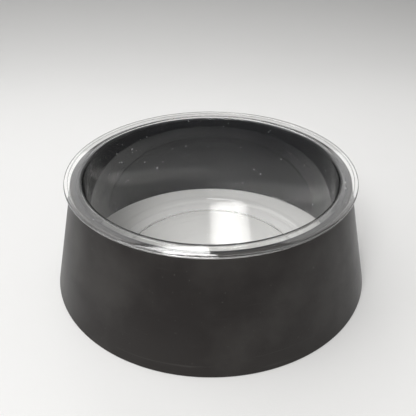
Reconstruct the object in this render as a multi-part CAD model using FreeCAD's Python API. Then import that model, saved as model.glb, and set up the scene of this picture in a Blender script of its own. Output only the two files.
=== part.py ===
import FreeCAD, Part
import math
import os

# Two-piece hair color bowl, in millimetres.
# +Z is the axis of both round pieces; the origin is the middle of the base plane.
# outer_sleeve      black skirt, a conical shell open at the top and at the bottom
# clear_insert_cup  clear cup that drops into the sleeve and stands on its own floor

FULL_TURN = 360.0

# Outer sleeve: a straight-sided cone, widest at the base
SLEEVE_BASE_R = 80.0
SLEEVE_TOP_R = 67.3
SLEEVE_HEIGHT = 54.6
SLEEVE_BASE_WALL = 3.9      # both walls measured level
SLEEVE_TOP_WALL = 3.2
SLEEVE_RIM_ROUND = 0.6      # both edges of the flat rim
SLEEVE_BASE_ROUND = 0.5     # both edges of the base

# Insert cup: wall and flange
CUP_HEIGHT = 57.1           # to the top of the flange, beside the mouth
CUP_WALL = 1.1              # wall, floor and flange are all this thick
CUP_FOOT_R = 60.6           # outside of the wall, carried down to the base plane
CUP_NECK_R = 62.4           # outside of the wall, carried up to the flange
FLANGE_R = 70.1             # outer edge of the flange
FLANGE_FALL = 0.6           # how far the flange droops from the mouth to its edge
MOUTH_ROUND = 1.4           # inner edge of the mouth, where wall turns into flange
NECK_ROUND = 0.3            # the corner under the flange
HEEL_ROUND = 5.0            # outer corner between wall and floor

# Insert cup: bead round the flange's edge
BEAD_WIDTH = 1.8
BEAD_STEP = 0.25            # stands proud of the flange, above and below
BEAD_ROUND = 0.5
STEP_ROUND = 0.1            # where the bead steps off the flange

# Insert cup: floor, a flat ring to stand on and a raised middle panel
PANEL_R = 46.5              # outer edge of the raised panel's flat top
PANEL_RISE = 1.2
PANEL_SLOPE_WIDTH = 2.6     # width of the ramp between the ring and the panel
RAMP_ROUND = 2.6            # at the foot and at the head of that ramp

# Insert cup: low soft rings moulded in the panel, and the spot left by the moulding gate
RING_RADII = (42.5, 38.0, 24.0)
RING_WIDTH = 1.2
RING_HEIGHT = 0.12
RING_DRAFT = 1.2            # how far each side of a ring or of the spot leans out at its foot
RING_ROUND = 4.0
GATE_R = 2.2
GATE_HEIGHT = 0.3


def point(radius, height):
    """A point of a profile, in the half plane of +X and +Z."""
    return FreeCAD.Vector(radius, 0, height)


def corner_arc(before, corner, after, radius):
    """The start, middle and end of the arc that rounds one corner of a profile."""
    towards_before = (before - corner).normalize()
    towards_after = (after - corner).normalize()
    half_angle = towards_before.getAngle(towards_after) / 2
    setback = radius / math.tan(half_angle)
    inward = (towards_before + towards_after).normalize()
    centre = corner + inward * (radius / math.sin(half_angle))
    return (
        corner + towards_before * setback,
        centre - inward * radius,
        corner + towards_after * setback,
    )


def revolved(outline):
    """Turn a closed profile about Z. The outline lists (radius, height, rounding) corners."""
    corners = [point(radius, height) for radius, height, rounding in outline]
    count = len(corners)
    ends = []
    arcs = []
    for index, corner in enumerate(corners):
        rounding = outline[index][2]
        if rounding == 0:
            ends.append((corner, corner))
            continue
        following = corners[(index + 1) % count]
        first, middle, last = corner_arc(corners[index - 1], corner, following, rounding)
        ends.append((first, last))
        arcs.append(Part.Arc(first, middle, last).toShape())
    lines = []
    for index in range(count):
        leaving = ends[index][1]
        arriving = ends[(index + 1) % count][0]
        lines.append(Part.LineSegment(leaving, arriving).toShape())
    wire = Part.Wire(Part.__sortEdges__(lines + arcs))
    face = Part.Face(wire)
    axis = FreeCAD.Vector(0, 0, 1)
    return face.revolve(FreeCAD.Vector(0, 0, 0), axis, FULL_TURN)


def outer_sleeve():
    """Conical shell with a flat rim, open at both ends and a little thinner at the top."""
    return revolved(
        (
            (SLEEVE_BASE_R, 0, SLEEVE_BASE_ROUND),
            (SLEEVE_TOP_R, SLEEVE_HEIGHT, SLEEVE_RIM_ROUND),
            (SLEEVE_TOP_R - SLEEVE_TOP_WALL, SLEEVE_HEIGHT, SLEEVE_RIM_ROUND),
            (SLEEVE_BASE_R - SLEEVE_BASE_WALL, 0, SLEEVE_BASE_ROUND),
        )
    )


def ring_corners(middle_r, base):
    """The four corners of one low raised ring, from its outside to its inside."""
    inner_r = middle_r - RING_WIDTH / 2
    outer_r = middle_r + RING_WIDTH / 2
    crown = base + RING_HEIGHT
    return [
        (outer_r + RING_DRAFT, base, RING_ROUND),
        (outer_r, crown, RING_ROUND),
        (inner_r, crown, RING_ROUND),
        (inner_r - RING_DRAFT, base, RING_ROUND),
    ]


def clear_insert_cup():
    """Floor, wall, flange and edge bead of the cup, with its moulded rings, as one turned profile."""
    bead_inner_r = FLANGE_R - BEAD_WIDTH
    mouth_r = CUP_NECK_R - CUP_WALL
    fall_slope = FLANGE_FALL / (FLANGE_R - mouth_r)
    neck_top = CUP_HEIGHT - fall_slope * CUP_WALL
    bead_top = CUP_HEIGHT - fall_slope * (bead_inner_r - mouth_r)
    edge_top = CUP_HEIGHT - FLANGE_FALL
    ramp_r = PANEL_R + PANEL_SLOPE_WIDTH
    panel_top = CUP_WALL + PANEL_RISE
    outline = [
        # underside, from the middle out to the heel
        (0, PANEL_RISE, 0),
        (PANEL_R, PANEL_RISE, RAMP_ROUND),
        (ramp_r, 0, RAMP_ROUND),
        (CUP_FOOT_R, 0, HEEL_ROUND),
        # outside of the wall and under the flange
        (CUP_NECK_R, neck_top - CUP_WALL, NECK_ROUND),
        (bead_inner_r, bead_top - CUP_WALL, STEP_ROUND),
        (bead_inner_r, bead_top - CUP_WALL - BEAD_STEP, STEP_ROUND),
        (FLANGE_R, edge_top - CUP_WALL - BEAD_STEP, BEAD_ROUND),
        # over the bead and back along the flange's top
        (FLANGE_R, edge_top + BEAD_STEP, BEAD_ROUND),
        (bead_inner_r, bead_top + BEAD_STEP, STEP_ROUND),
        (bead_inner_r, bead_top, STEP_ROUND),
        (mouth_r, CUP_HEIGHT, MOUTH_ROUND),
        # inside of the wall and down to the panel
        (CUP_FOOT_R - CUP_WALL, CUP_WALL, HEEL_ROUND - CUP_WALL),
        (ramp_r, CUP_WALL, RAMP_ROUND),
        (PANEL_R, panel_top, RAMP_ROUND),
    ]
    for radius in RING_RADII:
        outline += ring_corners(radius, panel_top)
    outline += [
        # the gate's spot
        (GATE_R + RING_DRAFT, panel_top, RING_ROUND),
        (GATE_R, panel_top + GATE_HEIGHT, RING_ROUND),
        (0, panel_top + GATE_HEIGHT, 0),
    ]
    return revolved(outline)


def main():
    os.makedirs("parts", exist_ok=True)
    outer_sleeve().exportStep("parts/outer_sleeve.step")
    clear_insert_cup().exportStep("parts/clear_insert_cup.step")


main()
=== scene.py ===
import math

import bpy
from mathutils import Matrix, Vector


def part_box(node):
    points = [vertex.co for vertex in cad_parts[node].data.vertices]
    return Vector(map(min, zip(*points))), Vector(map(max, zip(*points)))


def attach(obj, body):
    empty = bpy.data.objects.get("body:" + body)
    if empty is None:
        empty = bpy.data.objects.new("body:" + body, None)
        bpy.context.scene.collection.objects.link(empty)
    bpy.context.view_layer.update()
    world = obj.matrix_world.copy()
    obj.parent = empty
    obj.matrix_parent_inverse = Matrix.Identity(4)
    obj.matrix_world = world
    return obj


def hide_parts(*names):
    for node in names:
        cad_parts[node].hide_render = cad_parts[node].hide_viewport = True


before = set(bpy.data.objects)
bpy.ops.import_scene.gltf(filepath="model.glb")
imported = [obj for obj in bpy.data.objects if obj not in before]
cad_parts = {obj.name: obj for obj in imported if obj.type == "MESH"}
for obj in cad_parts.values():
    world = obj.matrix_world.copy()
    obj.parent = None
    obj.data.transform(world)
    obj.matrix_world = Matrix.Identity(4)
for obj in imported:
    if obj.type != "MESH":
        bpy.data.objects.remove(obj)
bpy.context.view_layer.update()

# ---------------------------------------------------------------- sizes, in metres
MM = 0.001
TURN_STEPS = 384            # facets round each turned piece
ARC_STEPS = 6               # facets on each rounded corner of a profile
FLAT_WEIGHT = 100           # how far the broad faces, and not the arcs, settle the shading

sleeve_low, sleeve_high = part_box("outer_sleeve")
cup_low, cup_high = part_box("clear_insert_cup")

# Sleeve: its outside comes from the frame
SLEEVE_BASE_R = (sleeve_high.x - sleeve_low.x) / 2
SLEEVE_HEIGHT = sleeve_high.z
SLEEVE_TOP_R = 67.3 * MM
SLEEVE_BASE_WALL = 3.9 * MM
SLEEVE_TOP_WALL = 3.2 * MM
SLEEVE_RIM_ROUND = 0.6 * MM
SLEEVE_BASE_ROUND = 0.5 * MM

# Cup: wall and flange
FLANGE_R = (cup_high.x - cup_low.x) / 2
CUP_HEIGHT = 57.1 * MM
CUP_WALL = 1.1 * MM
CUP_FOOT_R = 60.6 * MM
CUP_NECK_R = 62.4 * MM
FLANGE_FALL = 0.6 * MM
MOUTH_ROUND = 2.3 * MM      # this rounding and the next are a little softer than in the CAD
NECK_ROUND = 1.2 * MM
HEEL_ROUND = 5.0 * MM
BEAD_WIDTH = 1.8 * MM
BEAD_STEP = 0.25 * MM
BEAD_ROUND = 0.5 * MM
STEP_ROUND = 0.1 * MM

# Cup: floor
PANEL_R = 46.5 * MM
PANEL_RISE = 1.2 * MM
PANEL_SLOPE_WIDTH = 2.6 * MM
RAMP_ROUND = 2.6 * MM
RING_RADII = (42.5 * MM, 38.0 * MM, 24.0 * MM)
RING_WIDTH = 1.2 * MM
RING_HEIGHT = 0.12 * MM
RING_DRAFT = 1.2 * MM       # how far each side of a ring leans out at its foot
RING_ROUND = 4.0 * MM
GATE_R = 2.2 * MM
GATE_HEIGHT = 0.3 * MM

# ---------------------------------------------------------------- camera
CAMERA_ELEVATION = math.radians(32.7)
CAMERA_DISTANCE = 0.2767
CAMERA_SIDE = -0.00144
CAMERA_AIM_HEIGHT = 0.0335
CAMERA_ROLL = -0.003
CAMERA_LENS = 47.0          # this and the sensor's width are in millimetres
CAMERA_SENSOR = 36
CAMERA_NEAR = 0.01


def make_camera():
    aim = Vector((CAMERA_SIDE, 0, CAMERA_AIM_HEIGHT))
    away = Vector((0, -math.cos(CAMERA_ELEVATION), math.sin(CAMERA_ELEVATION)))
    data = bpy.data.cameras.new("camera")
    data.lens = CAMERA_LENS
    data.sensor_width = CAMERA_SENSOR
    data.clip_start = CAMERA_NEAR
    camera = bpy.data.objects.new("camera", data)
    turn = away.to_track_quat("Z", "Y").to_matrix() @ Matrix.Rotation(CAMERA_ROLL, 3, "Z")
    camera.matrix_world = Matrix.Translation(aim + away * CAMERA_DISTANCE) @ turn.to_4x4()
    bpy.context.scene.collection.objects.link(camera)
    bpy.context.scene.camera = camera


# ---------------------------------------------------------------- light and floor
WORLD_LIGHT = 0.25
WORLD_TINT = (1.0, 0.995, 0.985, 1)
LAMP_DISTANCE = 1.3
BACK_PANEL_PLACE = (0, 0.5, 0.40)
RIM_STRIP_PLACE = (-0.085, 0.45, 0.573)
SWEEP_REACH = 2.5
SWEEP_START = 0.3           # where the sheet begins to curve up, behind the bowl
SWEEP_BEND = 0.5
SWEEP_STEPS = 24
BEAM_WIDTH = 0.012
BEAM_DEPTH = 0.038
BEAM_RIGHT = 0.0115
BEAM_BACK = 0.034
BEAM_HEIGHT = 0.35
BEAM_SPREAD = math.radians(2.0)
BEAM_STRENGTH = 4800.0


def area_light(name, width, height, energy, mirrored):
    """A rectangular light, unseen by the camera and, on request, in reflections."""
    data = bpy.data.lights.new(name, "AREA")
    data.shape = "RECTANGLE"
    data.size = width
    data.size_y = height
    data.energy = energy
    light = bpy.data.objects.new(name, data)
    light.visible_camera = False
    light.visible_glossy = mirrored
    bpy.context.scene.collection.objects.link(light)
    return light


def softbox(name, place, width, height, radiance, mirrored=True):
    """A broad light that faces the bowl."""
    light = area_light(name, width, height, radiance * math.pi * width * height, mirrored)
    outward = Vector(place)
    turn_in = outward.to_track_quat("Z", "Y").to_matrix().to_4x4()
    light.matrix_world = Matrix.Translation(outward) @ turn_in


def floor_beam():
    """A narrow beam from straight above that leaves one bright patch on the cup's floor."""
    energy = BEAM_STRENGTH * BEAM_WIDTH * BEAM_DEPTH
    light = area_light("floor_beam", BEAM_WIDTH, BEAM_DEPTH, energy, mirrored=False)
    light.data.spread = BEAM_SPREAD
    light.location = (BEAM_RIGHT, BEAM_BACK, BEAM_HEIGHT)


def around(azimuth, elevation):
    """A lamp's place round the bowl, in degrees; azimuth 0 is behind the bowl and 90 is on its right."""
    turn = math.radians(azimuth)
    rise = math.radians(elevation)
    level = LAMP_DISTANCE * math.cos(rise)
    return (level * math.sin(turn), level * math.cos(turn), LAMP_DISTANCE * math.sin(rise))


def make_world():
    world = bpy.data.worlds.new("studio")
    world.use_nodes = True
    sky = world.node_tree.nodes["Background"]
    sky.inputs["Color"].default_value = WORLD_TINT
    sky.inputs["Strength"].default_value = WORLD_LIGHT
    bpy.context.scene.world = world
    bpy.context.scene.view_settings.view_transform = "Standard"


def make_lights():
    softbox("overhead", around(azimuth=180, elevation=86), width=0.9, height=0.9, radiance=0.85)
    softbox("key_left", around(azimuth=-78, elevation=60), width=1.2, height=1.0, radiance=1.5)
    front_place = around(azimuth=-163, elevation=44)
    softbox("front_top", front_place, width=0.7, height=0.4, radiance=12.0, mirrored=False)
    softbox("back_panel", BACK_PANEL_PLACE, width=0.8, height=0.26, radiance=1.1)
    softbox("rim_strip", RIM_STRIP_PLACE, width=0.17, height=0.04, radiance=8.0)
    floor_beam()


def make_sweep():
    """The table and backdrop: one sheet, flat under the bowl and curved up behind it."""
    line = [(-SWEEP_REACH, 0)]
    for step in range(SWEEP_STEPS + 1):
        angle = math.pi / 2 * step / SWEEP_STEPS
        depth = SWEEP_START + SWEEP_BEND * math.sin(angle)
        line.append((depth, SWEEP_BEND * (1 - math.cos(angle))))
    line.append((SWEEP_START + SWEEP_BEND, SWEEP_REACH))
    vertices = [(side * SWEEP_REACH, depth, height) for depth, height in line for side in (-1, 1)]
    faces = [(2 * row, 2 * row + 1, 2 * row + 3, 2 * row + 2) for row in range(len(line) - 1)]
    mesh = bpy.data.meshes.new("sweep")
    mesh.from_pydata(vertices, [], faces)
    mesh.polygons.foreach_set("use_smooth", [True] * len(faces))
    sweep = bpy.data.objects.new("sweep", mesh)
    bpy.context.scene.collection.objects.link(sweep)
    sweep.data.materials.append(sweep_paper())


# ---------------------------------------------------------------- materials: colours and places
PAPER_DULL = (0.805, 0.80, 0.79, 1)
PAPER_BRIGHT = (0.845, 0.84, 0.83, 1)
# painted shade: the far colour makes the backdrop darker behind the bowl, where less light falls on it
PAPER_PAINTED_SHADE = (0.2, 0.199, 0.196, 1)
PAPER_SHADE_START = 0.12     # how far behind the bowl's axis the painted shade on the paper begins
PAPER_SHADE_END = 0.7

RUBBER_CLEAN = (0.0108, 0.0086, 0.0080, 1)
# the lighter rubber colour serves both the dust and the painted bounce light near the table
RUBBER_DUST_AND_BOUNCE_LIGHT = (0.046, 0.043, 0.040, 1)
RUBBER_INSIDE = (0.018, 0.0184, 0.0205, 1)
INSIDE_ROUGHNESS = 0.8
INNER_DEPTH = 0.7 * SLEEVE_TOP_WALL     # deeper in the wall than this, the rubber has its inner look
OUTER_DEPTH = 0.2 * SLEEVE_TOP_WALL     # less deep than this, it has its outer look
BOUNCE_LIGHT_HEIGHT = 0.03          # how high the painted bounce light near the table reaches

PLASTIC_TINT = (0.99, 0.99, 0.985, 1)
PLASTIC_SHADE = (0.98, 0.98, 0.975, 1)  # what soft light keeps when it passes through
PLASTIC_IOR = 1.45


# ---------------------------------------------------------------- material helpers
class Shading:
    """A new material with its Principled shader, and short ways to add nodes to it."""

    def __init__(self, name):
        self.material = bpy.data.materials.new(name)
        self.material.use_nodes = True
        self.tree = self.material.node_tree
        self.shader = self.tree.nodes["Principled BSDF"]
        self.place = self.add("ShaderNodeTexCoord").outputs["Object"]

    def add(self, kind, **settings):
        node = self.tree.nodes.new(kind)
        for key, value in settings.items():
            setattr(node, key, value)
        return node

    def put(self, value, socket):
        """Sets a socket to a plain value or links an output to it."""
        if isinstance(value, bpy.types.NodeSocket):
            self.tree.links.new(value, socket)
        else:
            socket.default_value = value

    def axis(self, letter):
        """How far along the object's X, Y or Z each point is."""
        node = self.add("ShaderNodeSeparateXYZ")
        self.put(self.place, node.inputs[0])
        return node.outputs[letter]

    def noise(self, scale, detail=4.0, roughness=0.55, stretch=(1, 1, 1)):
        mapping = self.add("ShaderNodeMapping")
        mapping.inputs["Scale"].default_value = stretch
        self.put(self.place, mapping.inputs["Vector"])
        node = self.add("ShaderNodeTexNoise")
        self.put(mapping.outputs["Vector"], node.inputs["Vector"])
        node.inputs["Scale"].default_value = scale
        node.inputs["Detail"].default_value = detail
        node.inputs["Roughness"].default_value = roughness
        return node.outputs["Fac"]

    def spread(self, value, low, high, to_low=0.0, to_high=1.0):
        """Turns values from low to high into values from to_low to to_high, with soft ends."""
        node = self.add("ShaderNodeMapRange", interpolation_type="SMOOTHSTEP")
        self.put(value, node.inputs["Value"])
        node.inputs["From Min"].default_value = low
        node.inputs["From Max"].default_value = high
        node.inputs["To Min"].default_value = to_low
        node.inputs["To Max"].default_value = to_high
        return node.outputs["Result"]

    def math(self, operation, first, second):
        node = self.add("ShaderNodeMath", operation=operation)
        self.put(first, node.inputs[0])
        self.put(second, node.inputs[1])
        return node.outputs["Value"]

    def mix_colour(self, share, first, second):
        node = self.add("ShaderNodeMix", data_type="RGBA")
        self.put(share, node.inputs["Factor"])
        self.put(first, node.inputs["A"])
        self.put(second, node.inputs["B"])
        return node.outputs["Result"]

    def bump(self, height, distance, strength=1.0):
        node = self.add("ShaderNodeBump")
        self.put(height, node.inputs["Height"])
        node.inputs["Distance"].default_value = distance
        node.inputs["Strength"].default_value = strength
        return node.outputs["Normal"]

    def let_light_through(self, tint):
        """Lets soft light and lamps pass straight through; sight and reflections still meet the shader."""
        path = self.add("ShaderNodeLightPath")
        clear = self.add("ShaderNodeBsdfTransparent")
        clear.inputs["Color"].default_value = tint
        surface = self.shader.outputs["BSDF"]
        for ray in ("Is Diffuse Ray", "Is Shadow Ray"):
            mix = self.add("ShaderNodeMixShader")
            self.put(path.outputs[ray], mix.inputs[0])
            self.put(surface, mix.inputs[1])
            self.put(clear.outputs["BSDF"], mix.inputs[2])
            surface = mix.outputs["Shader"]
        self.put(surface, self.tree.nodes["Material Output"].inputs["Surface"])

    def finish(self, **sockets):
        """Fills the shader's sockets, named with _ for each space, and gives the material."""
        for key, value in sockets.items():
            self.put(value, self.shader.inputs[key.replace("_", " ")])
        return self.material


def sweep_paper():
    s = Shading("sweep_paper")
    # painted shade: the paper's colour darkens far behind the bowl
    far = s.spread(s.axis("Y"), PAPER_SHADE_START, PAPER_SHADE_END)
    near_tone = s.mix_colour(s.noise(scale=8.0), PAPER_DULL, PAPER_BRIGHT)
    tone = s.mix_colour(far, near_tone, PAPER_PAINTED_SHADE)
    grain = s.bump(s.noise(scale=900.0), distance=0.00005)
    return s.finish(Base_Color=tone, Roughness=0.6, Normal=grain)


def sleeve_inside(s):
    """1 on the sleeve's inner face and 0 on its outer one."""
    flat = s.add("ShaderNodeVectorMath", operation="MULTIPLY")
    s.put(s.place, flat.inputs[0])
    flat.inputs[1].default_value = (1, 1, 0)
    radius = s.add("ShaderNodeVectorMath", operation="LENGTH")
    s.put(flat.outputs["Vector"], radius.inputs[0])
    lean = (SLEEVE_BASE_R - SLEEVE_TOP_R) / SLEEVE_HEIGHT
    at_base = s.math("ADD", radius.outputs["Value"], s.math("MULTIPLY", s.axis("Z"), lean))
    return s.spread(at_base, SLEEVE_BASE_R - INNER_DEPTH, SLEEVE_BASE_R - OUTER_DEPTH, 1.0, 0.0)


def sleeve_dust_and_bounce_light(s):
    """How light the outer face's colour is: dust as cloudy smudges, specks and scuffs round it, and
    painted bounce light from the table near its foot.
    """
    cloud = s.spread(s.noise(scale=26.0, detail=7.0), low=0.40, high=0.72, to_high=0.55)
    specks = s.spread(s.noise(scale=700.0, detail=2.0), low=0.70, high=0.76)
    streaks = s.noise(scale=16.0, detail=9.0, stretch=(1, 1, 24))
    scuffs = s.spread(streaks, low=0.61, high=0.72, to_high=0.5)
    # painted light: the outer face is lighter towards the table, standing for light bounced up from it
    bounce_light = s.spread(s.axis("Z"), low=0.0, high=BOUNCE_LIGHT_HEIGHT, to_low=0.2, to_high=0.0)
    return s.math("MAXIMUM", s.math("MAXIMUM", cloud, specks), s.math("ADD", scuffs, bounce_light))


def sleeve_rubber():
    s = Shading("sleeve_rubber_soft_black")
    inside = sleeve_inside(s)
    outer_colour = s.mix_colour(sleeve_dust_and_bounce_light(s), RUBBER_CLEAN, RUBBER_DUST_AND_BOUNCE_LIGHT)
    colour = s.mix_colour(inside, outer_colour, RUBBER_INSIDE)
    outer_rough = s.spread(s.noise(scale=45.0, detail=5.0), low=0.3, high=0.7, to_low=0.44, to_high=0.54)
    rough = s.math("MAXIMUM", outer_rough, s.math("MULTIPLY", inside, INSIDE_ROUGHNESS))
    grain = s.bump(s.noise(scale=2200.0, detail=2.0), distance=0.00003)
    s.shader.inputs["Specular IOR Level"].default_value = 0.3
    s.shader.inputs["Sheen Weight"].default_value = 0.2
    s.shader.inputs["Sheen Roughness"].default_value = 0.3
    return s.finish(Base_Color=colour, Roughness=rough, Normal=grain)


def plastic_wear(s):
    """The clear plastic's roughness: a thin haze, with small specks and fine scratches round it."""
    haze = s.spread(s.noise(scale=60.0, detail=5.0), low=0.35, high=0.8, to_low=0.01, to_high=0.05)
    specks = s.spread(s.noise(scale=520.0, detail=2.0), low=0.715, high=0.775, to_high=0.4)
    streaks = s.noise(scale=40.0, detail=9.0, stretch=(1, 1, 14))
    scratches = s.spread(streaks, low=0.66, high=0.74, to_high=0.22)
    return s.math("MAXIMUM", haze, s.math("MAXIMUM", specks, scratches))


def clear_plastic():
    s = Shading("cup_clear_plastic")
    s.shader.inputs["Transmission Weight"].default_value = 1.0
    s.shader.inputs["IOR"].default_value = PLASTIC_IOR
    s.shader.inputs["Base Color"].default_value = PLASTIC_TINT
    wave = s.bump(s.noise(scale=35.0, detail=2.0), distance=0.0004, strength=0.1)
    s.finish(Roughness=plastic_wear(s), Normal=wave)
    s.let_light_through(PLASTIC_SHADE)
    return s.material


# ---------------------------------------------------------------- turned meshes
def rounded(outline):
    """Replaces each (radius, height, rounding) corner of an outline by points along its arc."""
    points = []
    count = len(outline)
    for index, (radius, height, rounding) in enumerate(outline):
        corner = Vector((radius, height))
        if rounding == 0:
            points.append(corner)
            continue
        before = (Vector(outline[index - 1][:2]) - corner).normalized()
        after = (Vector(outline[(index + 1) % count][:2]) - corner).normalized()
        half = before.angle(after) / 2
        centre = corner + (before + after).normalized() * (rounding / math.sin(half))
        first = corner + before * (rounding / math.tan(half)) - centre
        last = corner + after * (rounding / math.tan(half)) - centre
        sweep = math.atan2(first.x * last.y - first.y * last.x, first.dot(last))
        for step in range(ARC_STEPS + 1):
            points.append(centre + Matrix.Rotation(sweep * step / ARC_STEPS, 2) @ first)
    return points


def turned(name, outline, closed):
    """A mesh made by turning an outline about Z; one that isn't closed starts and ends on the axis."""
    vertices = []
    rows = []
    for point in rounded(outline):
        on_axis = point.x == 0
        rows.append((len(vertices), on_axis))
        for step in range(1 if on_axis else TURN_STEPS):
            angle = 2 * math.pi * step / TURN_STEPS
            vertices.append((point.x * math.cos(angle), point.x * math.sin(angle), point.y))
    pairs = list(zip(rows, rows[1:]))
    if closed:
        pairs.append((rows[-1], rows[0]))
    faces = []
    for (low, low_on_axis), (high, high_on_axis) in pairs:
        for step in range(TURN_STEPS):
            after = (step + 1) % TURN_STEPS
            if low_on_axis:
                faces.append((low, high + after, high + step))
            elif high_on_axis:
                faces.append((low + step, low + after, high))
            else:
                faces.append((low + step, low + after, high + after, high + step))
    mesh = bpy.data.meshes.new(name)
    mesh.from_pydata(vertices, [], faces)
    mesh.polygons.foreach_set("use_smooth", [True] * len(faces))
    piece = bpy.data.objects.new(name, mesh)
    bpy.context.scene.collection.objects.link(piece)
    keep_flats = piece.modifiers.new("keep_flats", "WEIGHTED_NORMAL")
    keep_flats.weight = FLAT_WEIGHT
    return piece


def make_sleeve():
    sleeve = turned(
        "sleeve_skin",
        (
            (SLEEVE_BASE_R, 0, SLEEVE_BASE_ROUND),
            (SLEEVE_TOP_R, SLEEVE_HEIGHT, SLEEVE_RIM_ROUND),
            (SLEEVE_TOP_R - SLEEVE_TOP_WALL, SLEEVE_HEIGHT, SLEEVE_RIM_ROUND),
            (SLEEVE_BASE_R - SLEEVE_BASE_WALL, 0, SLEEVE_BASE_ROUND),
        ),
        closed=True,
    )
    sleeve.data.materials.append(sleeve_rubber())
    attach(sleeve, "sleeve")
    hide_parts("outer_sleeve")


def ring_corners(middle_r, base):
    """The four corners of one low raised ring, from its outside to its inside."""
    inner_r = middle_r - RING_WIDTH / 2
    outer_r = middle_r + RING_WIDTH / 2
    crown = base + RING_HEIGHT
    return [
        (outer_r + RING_DRAFT, base, RING_ROUND),
        (outer_r, crown, RING_ROUND),
        (inner_r, crown, RING_ROUND),
        (inner_r - RING_DRAFT, base, RING_ROUND),
    ]


def make_cup():
    bead_inner_r = FLANGE_R - BEAD_WIDTH
    mouth_r = CUP_NECK_R - CUP_WALL
    fall_slope = FLANGE_FALL / (FLANGE_R - mouth_r)
    neck_top = CUP_HEIGHT - fall_slope * CUP_WALL
    bead_top = CUP_HEIGHT - fall_slope * (bead_inner_r - mouth_r)
    edge_top = CUP_HEIGHT - FLANGE_FALL
    ramp_r = PANEL_R + PANEL_SLOPE_WIDTH
    panel_top = CUP_WALL + PANEL_RISE
    outline = [
        (0, PANEL_RISE, 0),
        (PANEL_R, PANEL_RISE, RAMP_ROUND),
        (ramp_r, 0, RAMP_ROUND),
        (CUP_FOOT_R, 0, HEEL_ROUND),
        (CUP_NECK_R, neck_top - CUP_WALL, NECK_ROUND),
        (bead_inner_r, bead_top - CUP_WALL, STEP_ROUND),
        (bead_inner_r, bead_top - CUP_WALL - BEAD_STEP, STEP_ROUND),
        (FLANGE_R, edge_top - CUP_WALL - BEAD_STEP, BEAD_ROUND),
        (FLANGE_R, edge_top + BEAD_STEP, BEAD_ROUND),
        (bead_inner_r, bead_top + BEAD_STEP, STEP_ROUND),
        (bead_inner_r, bead_top, STEP_ROUND),
        (mouth_r, CUP_HEIGHT, MOUTH_ROUND),
        (CUP_FOOT_R - CUP_WALL, CUP_WALL, HEEL_ROUND - CUP_WALL),
        (ramp_r, CUP_WALL, RAMP_ROUND),
        (PANEL_R, panel_top, RAMP_ROUND),
    ]
    for radius in RING_RADII:
        outline += ring_corners(radius, panel_top)
    outline += [
        (GATE_R + RING_DRAFT, panel_top, RING_ROUND),
        (GATE_R, panel_top + GATE_HEIGHT, RING_ROUND),
        (0, panel_top + GATE_HEIGHT, 0),
    ]
    cup = turned("cup_clear", outline, closed=False)
    cup.data.materials.append(clear_plastic())
    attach(cup, "cup")
    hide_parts("clear_insert_cup")


make_camera()
make_world()
make_lights()
make_sweep()
make_sleeve()
make_cup()
